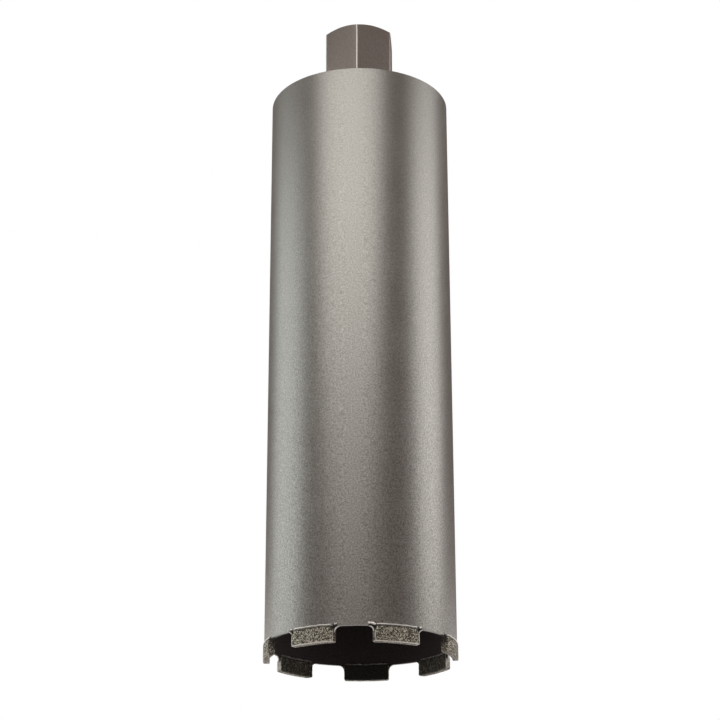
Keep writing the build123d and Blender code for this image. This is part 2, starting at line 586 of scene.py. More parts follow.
def round_corners(corners: np.ndarray, reach: np.ndarray | float, steps: int) -> np.ndarray:
    """Round the corners of closed outlines.

    Args:
        corners: Outline points, of shape (..., points, 2).
        reach: How far from each corner its rounding starts, at most half of each side.
        steps: Number of points that take each corner's place.

    Returns:
        The rounded outlines, of shape (..., points * steps, 2).
    """
    before = np.roll(corners, 1, axis=-2) - corners
    after = np.roll(corners, -1, axis=-2) - corners
    shape = (*corners.shape[:-1], 1)
    reach = np.broadcast_to(np.asarray(reach, float)[..., None] if np.ndim(reach) else reach, shape)
    ends = []
    for side in (before, after):
        length = np.linalg.norm(side, axis=-1, keepdims=True)
        share = np.minimum(reach, length / 2) / np.maximum(length, TINY)
        ends.append(corners + side * share)
    t = np.linspace(0, 1, steps)[:, None]
    start, end = (e[..., None, :] for e in ends)
    curve = (1 - t) ** 2 * start + 2 * t * (1 - t) * corners[..., None, :] + t**2 * end
    return curve.reshape(*corners.shape[:-2], -1, 2)


def turned(outlines: np.ndarray, angles: np.ndarray) -> np.ndarray:
    """Stand an outline of radii and heights up at each angle round the axis.

    Args:
        outlines: Points of shape (angles, points, 2) or (points, 2).
        angles: Angles in radians.

    Returns:
        Points of shape (angles, points, 3).
    """
    outlines = np.broadcast_to(outlines, (len(angles), *outlines.shape[-2:]))
    radius, height = outlines[..., 0], outlines[..., 1]
    return stacked(radius * np.cos(angles)[:, None], radius * np.sin(angles)[:, None], height)


def lumps(points: np.ndarray, size: float) -> np.ndarray:
    """Return smooth noise from about -1 to 1 at points of shape (..., 3)."""
    flat = points.reshape(-1, 3) / size
    return np.array([noise.noise(Vector(p)) for p in flat]).reshape(points.shape[:-1])


def mount_piece(piece: bpy.types.Object, slot: Slot, *nodes: str) -> None:
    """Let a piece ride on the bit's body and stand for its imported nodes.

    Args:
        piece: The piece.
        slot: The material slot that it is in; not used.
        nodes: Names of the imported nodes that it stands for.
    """
    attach(piece, BODY)
    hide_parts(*nodes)
    LOG.info("%s stands for %s with %d faces", piece.name, ", ".join(nodes), len(piece.data.polygons))


@dataclass
class Barrel:
    """The thin tube, with its rims rounded as by a deburring tool."""

    outer_radius: float
    inner_radius: float
    bottom: float
    top: float
    rim_round: float = 0.3 * MM
    mouth_round: float = 0.18 * MM
    corner_points: int = 5
    columns: int = 360
    sharp: float = 50.0

    @classmethod
    def from_frame(cls) -> Barrel:
        """Take the tube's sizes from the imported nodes."""
        low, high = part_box("barrel_tube")
        return cls(outer_radius=high.x, inner_radius=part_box("rim_weld")[1].x, bottom=low.z, top=high.z)

    def build(self, finish: Finish) -> bpy.types.Object:
        """Turn the wall's outline round the axis.

        Args:
            finish: The barrel's finish.

        Returns:
            The piece.
        """
        corners = np.array(
            [
                (self.outer_radius, self.bottom),
                (self.outer_radius, self.top),
                (self.inner_radius, self.top),
                (self.inner_radius, self.bottom),
            ]
        )
        reach = np.array([self.mouth_round, self.rim_round, self.rim_round, self.mouth_round])
        outline = round_corners(corners, reach, self.corner_points)
        angles = np.linspace(0, math.tau, self.columns, endpoint=False)
        draft = MeshDraft()
        draft.add(Grid(turned(outline, angles), {}, closed_rows=True, closed_columns=True))
        piece = draft.build("barrel_wall", finish.material(), self.sharp)
        mount_piece(piece, Slot.BARREL, "barrel_tube")
        return piece


@dataclass
class ThreadedHub:
    """The turned hexagon with its right-hand spindle thread cut in the bore."""

    half_flats: float
    bottom: float
    top: float
    seat: float
    crest_radius: float
    thread_length: float
    sides: int = 6
    corner_round: float = 0.8 * MM
    chamfer_radius: float = 20.3 * MM
    chamfer_angle: float = math.radians(30)
    collar_radius: float = 19.8 * MM
    collar_height: float = 8 * MM
    spigot_radius: float = 16 * MM
    spigot_chamfer: float = 0.6 * MM
    root_radius: float = 15.875 * MM
    pitch: float = 25.4 * MM / 7
    mouth_margin: float = 0.5 * MM
    relief_margin: float = 0.4 * MM
    relief_length: float = 5 * MM
    passage_radius: float = 10 * MM
    edge_round: float = 0.25 * MM
    crest_flat: float = 0.125
    root_flat: float = 0.25
    rows_per_turn: int = 16
    arc_points: int = 7
    flat_points: int = 9
    edge_points: int = 4
    sharp: float = 32.0

    @classmethod
    def from_frame(cls, record: dict) -> ThreadedHub:
        """Take the hub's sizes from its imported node, from its mount and from the plate below it.

        Args:
            record: The part's record.

        Returns:
            The hub.
        """
        low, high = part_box("threaded_hub")
        thread = next(m for m in record["mounts"] if m["name"] == "spindle_thread")["dims"]
        return cls(
            half_flats=high.x,
            bottom=low.z,
            top=high.z,
            seat=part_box("back_plate")[1].z,
            crest_radius=thread["r_mm"] * MM,
            thread_length=thread["length_mm"] * MM,
        )

    @property
    def flat_end(self) -> float:
        """Angle from the middle of a flat to where the rounding of its corner starts."""
        half_side = (self.half_flats - self.corner_round) * math.tan(math.pi / self.sides)
        return math.atan(half_side / self.half_flats)

    def angles(self) -> np.ndarray:
        """Spread angles round the hub, closer together at the rounded corners.

        Returns:
            Angles in radians over a whole turn, with the first one again at its end.
        """
        sector = math.tau / self.sides
        flat = np.linspace(-self.flat_end, self.flat_end, self.flat_points)
        arc = np.linspace(self.flat_end, sector - self.flat_end, self.arc_points + 1)[1:-1]
        one = np.concatenate([flat, arc])
        around = np.concatenate([one + sector * number for number in range(self.sides)])
        return np.append(around, around[0] + math.tau)

    def hexagon_radius(self, angles: np.ndarray) -> np.ndarray:
        """Measure how far out the hexagon with its rounded corners reaches.

        Args:
            angles: Angles in radians, from the middle of a flat.

        Returns:
            The reach at each angle.
        """
        sector = math.tau / self.sides
        from_flat = np.abs((angles + sector / 2) % sector - sector / 2)
        centre = (self.half_flats - self.corner_round) / math.cos(sector / 2)
        from_corner = sector / 2 - from_flat
        across = np.minimum(centre * np.sin(from_corner), self.corner_round)
        rounded = centre * np.cos(from_corner) + np.sqrt(self.corner_round**2 - across**2)
        return np.where(from_flat > self.flat_end, rounded, self.half_flats / np.cos(from_flat))

    def outside(self, angles: np.ndarray) -> np.ndarray:
        """Draw the hub's outside, from its top end down and back up inside to the relief.

        Args:
            angles: Angles in radians.

        Returns:
            Radii and heights of the outline's corners, of shape (angles, corners, 2).
        """
        reach = self.hexagon_radius(angles)
        drop = np.maximum(reach - self.chamfer_radius, 0) * math.tan(self.chamfer_angle)
        shoulder = np.minimum(reach, self.chamfer_radius)
        collar_top = self.seat + self.collar_height
        corners = [
            (shoulder, self.top),
            (reach, self.top - drop),
            (reach, collar_top),
            (self.collar_radius, collar_top),
            (self.collar_radius, self.seat),
            (self.spigot_radius, self.seat),
            (self.spigot_radius, self.bottom + self.spigot_chamfer),
            (self.spigot_radius - self.spigot_chamfer, self.bottom),
            (self.passage_radius, self.bottom),
            (self.passage_radius, self.relief_bottom),
            (self.relief_radius, self.relief_bottom),
            (self.relief_radius, self.thread_bottom),
        ]
        level = np.zeros_like(reach)
        return np.stack([stacked(radius + level, height) for radius, height in corners], axis=1)

    @property
    def mouth_radius(self) -> float:
        """Radius of the bevel at the thread's mouth."""
        return self.root_radius + self.mouth_margin

    @property
    def relief_radius(self) -> float:
        """Radius of the relief below the thread."""
        return self.root_radius + self.relief_margin

    @property
    def thread_bottom(self) -> float:
        """Height of the thread's lower end."""
        return self.top - (self.mouth_radius - self.crest_radius) - self.thread_length

    @property
    def relief_bottom(self) -> float:
        """Height of the relief's floor."""
        return self.thread_bottom - self.relief_length

    def bore(self, angles: np.ndarray) -> np.ndarray:
        """Draw the threaded bore, from its lower end up to the mouth.

        The rows of points climb with the thread. They start a turn below it and end a turn above it, and
        what lies outside the bore is drawn in to its ends.

        Args:
            angles: Angles in radians.

        Returns:
            Radii and heights of the bore, of shape (angles, rows, 2).
        """
        turns = (self.top - self.thread_bottom) / self.pitch + 2
        rows = np.arange(int(turns * self.rows_per_turn)) / self.rows_per_turn - 1
        height = self.thread_bottom + (rows[None, :] + angles[:, None] / math.tau) * self.pitch
        height = np.clip(height, self.thread_bottom, self.top)
        phase = ((height - self.thread_bottom) / self.pitch - angles[:, None] / math.tau) % 1
        from_root = np.abs(phase - 0.5) * 2
        slope = (from_root - self.root_flat) / (1 - self.root_flat - self.crest_flat)
        thread = self.root_radius - (self.root_radius - self.crest_radius) * np.clip(slope, 0, 1)
        mouth = self.mouth_radius - (self.top - height)
        return stacked(np.maximum(thread, mouth), height)

    def build(self, finish: Finish) -> bpy.types.Object:
        """Join the rounded outside and the threaded bore into one piece.

        Args:
            finish: The hub's finish.

        Returns:
            The piece.
        """
        angles = self.angles()
        outside = round_corners(self.outside(angles), self.edge_round, self.edge_points)
        outline = np.concatenate([outside, self.bore(angles)], axis=1)
        draft = MeshDraft()
        draft.add(Grid(turned(outline, angles), {}, closed_columns=True))
        piece = draft.build("hub_with_thread", finish.material(), self.sharp)
        mount_piece(piece, Slot.HUB, "threaded_hub")
        return piece


@dataclass
class Weld:
    """A ring of weld metal in a corner, with the ripples that its pool left.

    Foot, head and corner are the radii and heights of the three corners of its section.
    """

    node: str
    foot: tuple[float, float]
    head: tuple[float, float]
    corner: tuple[float, float]
    crown: float = 0.55 * MM
    ripple_length: float = 1.9 * MM
    ripple_height: float = 0.16 * MM
    ripple_lag: float = 1.3
    ripple_power: float = 0.6
    unevenness: float = 0.25 * MM
    unevenness_size: float = 6 * MM
    sharp: float = 60.0
    rows: int = 15
    points_per_ripple: int = 10

    @classmethod
    def round_the_hub(cls) -> Weld:
        """Size the weld between the hub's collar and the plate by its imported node.

        Returns:
            The weld.
        """
        low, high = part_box("hub_weld")
        inner = high.x - (high.z - low.z)
        return cls("hub_weld", foot=(high.x, low.z), head=(inner, high.z), corner=(inner, low.z))

    @classmethod
    def inside_the_rim(cls, width: float = 3.2 * MM) -> Weld:
        """Return the weld between the plate and the barrel."""
        low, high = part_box("rim_weld")
        return cls("rim_weld", foot=(high.x - width, low.z), head=(high.x, high.z), corner=(high.x, low.z))

    def build(self, finish: Finish) -> bpy.types.Object:
        """Sweep a crowned, rippled bead round the axis.

        Args:
            finish: The weld's finish.

        Returns:
            The piece.
        """
        foot, head, corner = (np.array(p) for p in (self.foot, self.head, self.corner))
        middle = (foot + head) / 2
        ripples = round(math.tau * middle[0] / self.ripple_length)
        angles = np.linspace(0, math.tau, ripples * self.points_per_ripple, endpoint=False)
        across = np.linspace(0, 1, self.rows)
        out = (middle - corner) / np.linalg.norm(middle - corner)
        arch = np.sin(math.pi * across)
        phase = (angles[:, None] * ripples / math.tau + self.ripple_lag * (across - 0.5) ** 2) % 1
        ripple = self.ripple_height * (phase**self.ripple_power - 0.5) * arch
        line = foot + (head - foot) * across[:, None]
        flat = line + out * (arch * self.crown)[:, None]
        around = turned(flat, angles)
        swell = self.unevenness * lumps(around, self.unevenness_size) * arch
        outline = flat[None] + out * (ripple + swell)[..., None]
        outline = np.concatenate([outline, np.broadcast_to(corner, (len(angles), 1, 2))], axis=1)
        draft = MeshDraft()
        draft.add(Grid(turned(outline, angles), {}, closed_rows=True, closed_columns=True))
        piece = draft.build(self.node + "_bead", finish.material(), self.sharp)
        mount_piece(piece, Slot.WELD, self.node)
        return piece


@dataclass(frozen=True)
class JointEnd:
    """How one end of a segment and its solder turned out by hand.

    The lip runs from its start to its end outwards from the segment's end. The last two values tell how
    much darker the segment's end face is, and how much lighter it is made by wear and painted light.
    """

    lip_start: float = 0.2 * MM
    lip_end: float = 2.4 * MM
    lip_height: float = 0.4 * MM
    web_stain: float = 0.15
    scoop_down: float = 2.9 * MM
    scoop_depth: float = 1.1 * MM
    burnt: float = 0.0
    worn_and_lit: float = 0.0

    @classmethod
    def deep(cls, burnt: float) -> JointEnd:
        """Make an end where the torch ate a deep hollow and left a short lip over a burnt web.

        Args:
            burnt: How dark the segment's end face is.

        Returns:
            The end.
        """
        return cls(
            lip_start=0.4 * MM,
            lip_end=1.3 * MM,
            lip_height=0.3 * MM,
            web_stain=0.7,
            scoop_down=7.5 * MM,
            scoop_depth=2.0 * MM,
            burnt=burnt,
        )


# The ends that differ from the plain one, by the segment's number and by the side, which is -1 or 1.
ODD_ENDS = {
    # Worn ends are lightened, for wear and painted light.
    (2, -1): JointEnd(worn_and_lit=0.5),
    (3, -1): JointEnd.deep(burnt=0.5),
    (4, -1): JointEnd(lip_start=0.3 * MM, lip_end=1.9 * MM, lip_height=0.45 * MM, web_stain=0.2, burnt=0.65),
    (4, 1): JointEnd(lip_start=-0.4 * MM, lip_end=0.9 * MM, web_stain=0.1),
    (5, -1): JointEnd(lip_start=0.0, lip_end=1.5 * MM, lip_height=0.6 * MM, web_stain=0.0),
    (5, 1): JointEnd(lip_start=-0.8 * MM, lip_end=3.6 * MM, lip_height=0.66 * MM, web_stain=0.0),
    (6, 1): JointEnd.deep(burnt=0.55),
    (7, 1): JointEnd(worn_and_lit=0.5),
}


@dataclass
class Crown:
    """Sizes that the segments and their solder share."""

    count: int
    half_width: float
    height: float
    radius: float
    barrel: Barrel
    thickness: float = 3.6 * MM
    plain_end: JointEnd = JointEnd()

    @classmethod
    def from_frame(cls, barrel: Barrel, nodes: dict) -> Crown:
        """Take the crown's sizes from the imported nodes.

        Args:
            barrel: The barrel that carries it.
            nodes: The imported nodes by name.

        Returns:
            The crown.
        """
        low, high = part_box("segment_1")
        count = sum(name.startswith("segment_") for name in nodes)
        return cls(count=count, half_width=high.x, height=high.z, radius=high.y, barrel=barrel)

    @property
    def inner_radius(self) -> float:
        """Radius of the segments' inner faces."""
        return self.radius - self.thickness

    def end(self, number: int, side: int) -> JointEnd:
        """Return how one end of a segment turned out."""
        return ODD_ENDS.get((number, side), self.plain_end)

    def seated(self, points: np.ndarray, number: int) -> np.ndarray:
        """Bring points to one segment's seat.

        Args:
            points: Places across, by radius and by height, of shape (..., 3).
            number: The segment's number, from 1.

        Returns:
            The places in the frame of the whole bit.
        """
        angle = (number - 1) * math.tau / self.count
        across, radius, height = points[..., 0], points[..., 1], points[..., 2]
        out = np.sqrt(radius**2 - across**2)
        x = across * math.cos(angle) - out * math.sin(angle)
        y = across * math.sin(angle) + out * math.cos(angle)
        return stacked(x, y, height)


@dataclass
class CuttingSegment:
    """One sintered segment, with pits and standing grains in its faces.

    Burnt_inside and worn_and_lit_edges tell how dark the inner face and how bright the edges are, for each
    For each segment in the order of their numbers, the tuples tell how much painted shade darkens its inner
    face and how much wear and a painted highlight lighten its edges.
    """

    crown: Crown
    spacing: float = 0.23 * MM
    corner_round: float = 1.1 * MM
    face_round: float = 0.25 * MM
    face_skin: float = 0.1 * MM
    grain_size: float = 0.52 * MM
    grain_stand: float = 0.1 * MM
    grain_steepness: float = 1.25
    pit_depth: float = 0.26 * MM
    grains_from: float = 0.35
    pits_below: float = -0.3
    fine_relief: float = 0.16
    fine_scale: float = 2.3
    seed_step: float = 37.7
    kind_step: float = 7.3
    rim_height: float = 0.8 * MM
    rim_width: float = 0.55 * MM
    rim_depth: float = 0.4 * MM
    rim_fade: float = 0.3
    rim_smoothing: float = 0.7
    # How strongly each kind of edge is lightened, by wear and by a painted highlight.
    toe_wear_and_light: float = 1.0
    upright_wear_and_light: float = 0.5
    end_wear_and_light: float = 0.7
    # A painted shadow darkens the top of each segment, under the solder seam.
    burnt_top: float = 0.45 * MM
    burnt_top_stain: float = 0.9
    burnt_foot: float = 0.4
    burnt_rise: float = 1.2
    # Painted shade on each segment's inner face.
    burnt_inside: tuple[float, ...] = (0.97, 0.6, 0.5, 0.5, 0.5, 0.5, 0.6)
    worn_and_lit_edges: tuple[float, ...] = (0.3, 0.4, 0.15, 1.0, 1.0, 0.15, 0.4)
    scoop_across: float = 1.4 * MM
    scoop_skin: float = 0.05 * MM
    sharp: float = 70.0

    def box_faces(self) -> list[np.ndarray]:
        """Lay grids of points over a straight block of the segment's size.

        Returns:
            A grid for each of its six faces, with places across, by radius and by height.
        """
        low = np.array([-self.crown.half_width, self.crown.inner_radius, 0.0])
        high = np.array([self.crown.half_width, self.crown.radius, self.crown.height])
        lines = [np.linspace(a, b, round((b - a) / self.spacing) + 1) for a, b in zip(low, high)]
        faces = []
        for axis in range(3):
            first, second = (lines[other] for other in range(3) if other != axis)
            grid = np.stack(np.meshgrid(first, second, indexing="ij"), axis=-1)
            for wall in (low[axis], high[axis]):
                faces.append(np.insert(grid, axis, wall, axis=-1))
        return faces

    def rounded(self, points: np.ndarray) -> tuple[np.ndarray, np.ndarray]:
        """Wear the block's edges round, apart from those under the solder.

        Args:
            points: Places on the block, of shape (rows, columns, 3).

        Returns:
            The places on the rounded block, and the way out of it at each.
        """
        reach = np.array([self.corner_round, self.face_round, self.corner_round])
        low = np.array([-self.crown.half_width, self.crown.inner_radius, 0.0]) + reach
        high = np.array([self.crown.half_width, self.crown.radius, math.inf]) - reach
        core = np.clip(points, low, high)
        away = (points - core) / reach
        way = unit(away / reach)
        return core + reach * unit(away) * np.abs(away).max(axis=-1, keepdims=True), way

    def worn_and_lit_rim(self, face: np.ndarray, number: int) -> np.ndarray:
        """Tell how much the block's edges are lightened, by wear and by a painted highlight.

        Args:
            face: Places on the straight block, of shape (rows, columns, 3).
            number: The segment's number, from 1.

        Returns:
            The wear at each place, from 0 to 1.
        """
        ends = (self.crown.half_width - np.abs(face[..., 0])) / self.rim_width
        radius = face[..., 1]
        skins = np.minimum(self.crown.radius - radius, radius - self.crown.inner_radius) / self.rim_depth
        toe = face[..., 2] / self.rim_height
        edges = [(skins, toe, self.toe_wear_and_light), (ends, skins, self.upright_wear_and_light), (ends, toe, self.end_wear_and_light)]
        worn_and_lit = [wear * np.clip((1 - np.maximum(a, b)) / self.rim_fade, 0, 1) for a, b, wear in edges]
        return np.max(worn_and_lit, axis=0) * self.worn_and_lit_edges[number - 1]

    def face_marks(self, face: np.ndarray, number: int) -> tuple[np.ndarray, np.ndarray]:
        """Tell how much painted shade darkens the inner face, how much darker the end faces are, and how
        much wear and painted light lighten them.

        Args:
            face: Places on the straight block, of shape (rows, columns, 3).
            number: The segment's number, from 1.

        Returns:
            How much each place is darkened, with painted shade on the inner face, and how much it is
            lightened by wear and painted light, from 0 to 1.
        """
        inside = face[..., 1] < self.crown.inner_radius + self.face_skin
        # The inner face is darkened as painted shade.
        burnt, worn_and_lit = inside * self.burnt_inside[number - 1], np.zeros(face.shape[:-1])
        for side in (-1, 1):
            end = self.crown.end(number, side)
            on_end = side * face[..., 0] > self.crown.half_width - self.face_skin
            rise = face[..., 2][on_end] / self.crown.height
            burnt[on_end] = end.burnt * (self.burnt_foot + self.burnt_rise * rise**2)
            worn_and_lit[on_end] = end.worn_and_lit
        return burnt, worn_and_lit

    def grit(self, points: np.ndarray, seed: float) -> np.ndarray:
        """Scatter pits and grains over a face.

        Args:
            points: Places on the block, of shape (..., 3).
            seed: Moves the pattern, so that each segment has its own.

        Returns:
            0 in a pit, 0.5 on the matrix and 1 on a standing grain, and the slopes between them.
        """
        flat = points.reshape(-1, 3) / self.grain_size + seed
        values = np.empty(len(flat))
        for index, point in enumerate(flat):
            distances, cells = noise.voronoi(Vector(point))
            kind = noise.cell(cells[0] * self.kind_step)
            dome = max(0.0, 1 - distances[0] * self.grain_steepness)
            rise = (kind > self.grains_from) - (kind < self.pits_below)
            fine = self.fine_relief * noise.noise(Vector(point) * self.fine_scale)
            values[index] = 0.5 + 0.5 * rise * dome + fine
        return np.clip(values, 0, 1).reshape(points.shape[:-1])

    def scooped(self, points: np.ndarray, number: int) -> tuple[np.ndarray, np.ndarray]:
        """Hollow the upper outer corners out.

        Args:
            points: Places across, by radius and by height, of shape (rows, columns, 3).
            number: The segment's number, from 1.

        Returns:
            The places, and how deep in the hollow each lies, from 0 to 1, which darkens it as charred flux
            and painted shade.
        """
        across = (self.crown.half_width - np.abs(points[..., 0])) / self.scoop_across
        left, right = (self.crown.end(number, side) for side in (-1, 1))
        on_left = points[..., 0] < 0
        down = (self.crown.height - points[..., 2]) / np.where(on_left, left.scoop_down, right.scoop_down)
        from_corner = np.hypot(across, down)
        bowl = np.sqrt(1 - np.minimum(from_corner, 1) ** 3)
        limit = self.crown.radius - np.where(on_left, left.scoop_depth, right.scoop_depth) * bowl
        inside = from_corner < 1
        # The hollow is darkened by its depth: charred flux and painted shade.
        stain = np.where(inside & (points[..., 1] > limit - self.scoop_skin), bowl, 0)
        moved = points.copy()
        moved[..., 1] = np.where(inside, np.minimum(points[..., 1], limit), points[..., 1])
        return moved, stain

    def build(self, number: int, material: bpy.types.Material) -> bpy.types.Object:
        """Make one segment on its seat.

        Args:
            number: The segment's number, from 1.
            material: The finish that all the segments share.

        Returns:
            The piece.
        """
        draft = MeshDraft()
        for face in self.box_faces():
            points, way = self.rounded(face)
            grit = self.grit(points, self.seed_step * number)
            # Nothing stands out of the top face, which the solder hides.
            hidden = np.all(way == 0, axis=-1)
            rim = self.worn_and_lit_rim(face, number)
            burnt, worn_and_lit = self.face_marks(face, number)
            height = np.where(grit > 0.5, self.grain_stand, self.pit_depth) * (grit - 0.5) * 2
            height = height * (1 - self.rim_smoothing * rim) - self.grain_stand
            points = points + way * np.where(hidden, 0, height)[..., None]
            points, stain = self.scooped(points, number)
            # Painted shadow along the segment's top, under the seam.
            top = np.clip(1 - (self.crown.height - face[..., 2]) / self.burnt_top, 0, 1)
            stain = np.max([stain, self.burnt_top_stain * top, burnt], axis=0)
            points[..., 1] = np.minimum(points[..., 1], self.crown.radius)
            points[..., 2] = np.maximum(points[..., 2], 0)
            marks = {Mark.GRIT: grit, Mark.RIM: np.maximum(rim, worn_and_lit), Mark.STAIN_AND_SHADE: stain}
            draft.add(Grid(self.crown.seated(points, number), marks))
        piece = draft.build(f"segment_{number}_sintered", material, self.sharp)
        mount_piece(piece, Slot.MATRIX, f"segment_{number}")
        return piece


@dataclass
class SolderJoint:
    """The solder of one segment: a seam over it, and a web, a rim and a lip at each of its ends.

    Each stain tells how dark a part of it is made, by charred flux and by painted shade, from 0 to 1.
    """

    crown: Crown
    section_points: int = 12
    taper_power: int = 8
    lump_share: float = 0.35
    lump_size: float = 1.3 * MM
    web_reach: float = 3.0 * MM
    web_inner: float = 53.05 * MM
    web_outer: float = 54.75 * MM
    web_points: int = 12
    layer_inset: float = 0.2 * MM
    layer_margin: float = 0.3 * MM
    layer_overlap: float = 0.05 * MM
    layer_points: int = 40
    # The web in the hollow is darkened: charred flux and painted shade.
    layer_stain_and_shade: float = 0.75
    seam_rise: float = 0.95 * MM
    seam_height: float = 0.42 * MM
    seam_stand: float = 0.45 * MM
    seam_end: float = 1.1 * MM
    seam_wave: float = 0.06 * MM
    seam_wave_pace: float = 900.0
    seam_points: int = 60
    outer_seam_stain: float = 0.05
    inner_seam_stain: float = 0.6
    # A dark strip below each seam paints the seam bead's shadow.
    seam_shadow_margin: float = 0.1 * MM
    seam_shadow_strength: float = 0.62
    rim_radius: float = 54.35 * MM
    rim_size: float = 0.33 * MM
    rim_stretch: float = 1.4
    rim_start: float = -0.12
    rim_points: int = 22
    lip_rise: float = 1.35 * MM
    lip_stand: float = 0.62 * MM
    lip_sag: float = 0.75 * MM
    lip_sag_from: float = 2.0 * MM
    lip_sag_length: float = 2.5 * MM
    lip_sag_curve: float = 1.5
    lip_points: int = 26
    skin: float = 0.06 * MM
    skin_inset: float = 0.4 * MM
    skin_overhang: float = 0.2 * MM
    skin_foot: float = 0.25 * MM
    skin_rows: int = 6
    sharp: float = 50.0

    @property
    def wall_end(self) -> float:
        """Height of the barrel's lower rim."""
        return self.crown.barrel.bottom

    def tube(self, path: np.ndarray, stand: float, height: float, stain: float) -> Grid:
        """Sweep a lumpy oval along a path, down to nothing at both of its ends.

        Args:
            path: Places across, by radius and by height, of shape (points, 3).
            stand: The oval's half size away from the axis.
            height: Its half size across the path and along the wall.
            stain: How burnt its surface is.

        Returns:
            A closed grid in the same kind of places.
        """
        radial = np.array([0.0, 1.0, 0.0])
        side = np.cross(unit(np.gradient(path, axis=0)), radial)[:, None]
        turn = np.linspace(0, math.tau, self.section_points, endpoint=False)[:, None]
        taper = np.sqrt(1 - np.linspace(-1, 1, len(path)) ** self.taper_power)[:, None, None]
        oval = taper * (stand * np.cos(turn) * radial + height * np.sin(turn) * side)
        line = path[:, None]
        swell = 1 + self.lump_share * lumps(line + oval, self.lump_size)[..., None]
        return Grid(line + oval * swell, {Mark.STAIN_AND_SHADE: stain}, closed_columns=True)

    def fillet_height(self, beyond: np.ndarray) -> np.ndarray:
        """Return the height of the hollow fillet at distances beyond the segment's end."""
        centre = self.wall_end - self.web_reach
        return centre + np.sqrt(np.maximum(self.web_reach**2 - (self.web_reach - beyond) ** 2, 0))

    def layer(self) -> Grid:
        """Lay the thin layer between the segment and the barrel, and the web at both of its ends.

        Returns:
            A closed grid of places across, by radius and by height.
        """
        half = self.crown.half_width
        beyond = self.web_reach * (1 - np.cos(np.linspace(0, math.pi / 2, self.web_points)))
        middle = np.linspace(self.layer_inset - half, half - self.layer_inset, self.layer_points)
        across = np.concatenate([-(half + beyond[::-1]), middle, half + beyond])
        outside = np.abs(across) >= half
        low = np.where(outside, self.fillet_height(np.maximum(np.abs(across) - half, 0)), self.crown.height)
        near = np.where(outside, self.web_inner, self.crown.inner_radius + self.layer_margin)
        far = np.where(outside, self.web_outer, self.crown.radius - self.layer_margin)
        high = self.wall_end + self.layer_overlap
        corners = [(near, low), (far, low), (far, high), (near, high)]
        points = np.stack([stacked(across, radius, height) for radius, height in corners], axis=1)
        # The whole layer and its webs are darkened, for charred flux and painted shade in the hollows.
        return Grid(points, {Mark.STAIN_AND_SHADE: self.layer_stain_and_shade}, closed_columns=True)

    def seam(self, radius: float, stain: float) -> Grid:
        """Lay the seam along one of the barrel's walls.

        Args:
            radius: The wall's radius.
            stain: How burnt the seam is.

        Returns:
            The seam as a closed grid.
        """
        half = self.crown.half_width - self.seam_end
        across = np.linspace(-half, half, self.seam_points)
        wave = self.seam_wave * np.sin(across * self.seam_wave_pace)
        path = stacked(across, radius, self.wall_end + self.seam_rise + wave)
        return self.tube(path, self.seam_stand, self.seam_height, stain)

    def seam_shadow_strip(self, radius: float) -> Grid:
        """Lay the dark skin below the seam, a painted shadow of the seam bead.

        Args:
            radius: The skin's radius.

        Returns:
            An open grid of two rows of points.
        """
        half = self.crown.half_width - self.seam_shadow_margin
        across = np.linspace(-half, half, self.layer_points)[:, None]
        height = self.wall_end + np.array([-self.seam_shadow_margin, self.seam_rise])
        return Grid(stacked(across, radius, height), {Mark.STAIN_AND_SHADE: self.seam_shadow_strength})

    def rim(self, side: int, stain: float) -> Grid:
        """Lay the bright rim along the lower edge of one web.

        Args:
            side: The segment's end, -1 or 1.
            stain: How burnt the rim is.

        Returns:
            The rim as a closed grid.
        """
        turn = np.linspace(self.rim_start, math.pi / 2, self.rim_points)
        across = side * (self.crown.half_width + self.web_reach * (1 - np.cos(turn)))
        height = self.wall_end - self.web_reach * (1 - np.sin(turn))
        path = stacked(across, self.rim_radius, height)
        return self.tube(path, self.rim_stretch * self.rim_size, self.rim_size, stain)

    def lip(self, side: int, end: JointEnd) -> Grid:
        """Lay the bright lip that stands proud of the barrel over one web.

        Args:
            side: The segment's end, -1 or 1.
            end: How that end turned out.

        Returns:
            The lip as a closed grid.
        """
        beyond = np.linspace(end.lip_end, end.lip_start, self.lip_points)
        sag = np.clip((self.lip_sag_from - beyond) / self.lip_sag_length, 0, 1) ** self.lip_sag_curve
        height = self.wall_end + self.lip_rise - self.lip_sag * sag
        path = stacked(side * (self.crown.half_width + beyond), self.crown.barrel.outer_radius, height)
        return self.tube(path, self.lip_stand, end.lip_height, stain=0.0)

    def burnt_skin(self, side: int, end: JointEnd) -> Grid:
        """Lay the dark patch on the barrel between the lip and the web: charred flux and a painted shadow of
        the lip.

        Args:
            side: The segment's end, -1 or 1.
            end: How that end turned out.

        Returns:
            An open grid that starts on the web and lies on the barrel.
        """
        reach = min(end.lip_end, self.web_reach) + self.skin_overhang
        beyond = np.linspace(-self.skin_inset, reach, self.web_points)[:, None]
        height = self.wall_end + np.linspace(-self.skin_foot, self.lip_rise, self.skin_rows)
        radius = self.crown.barrel.outer_radius + self.skin
        points = stacked(side * (self.crown.half_width + beyond), radius, height)
        points[:, 0, 1] = self.web_outer
        # The whole patch is dark: charred flux and the lip's painted shadow.
        return Grid(points, {Mark.STAIN_AND_SHADE: 1.0})

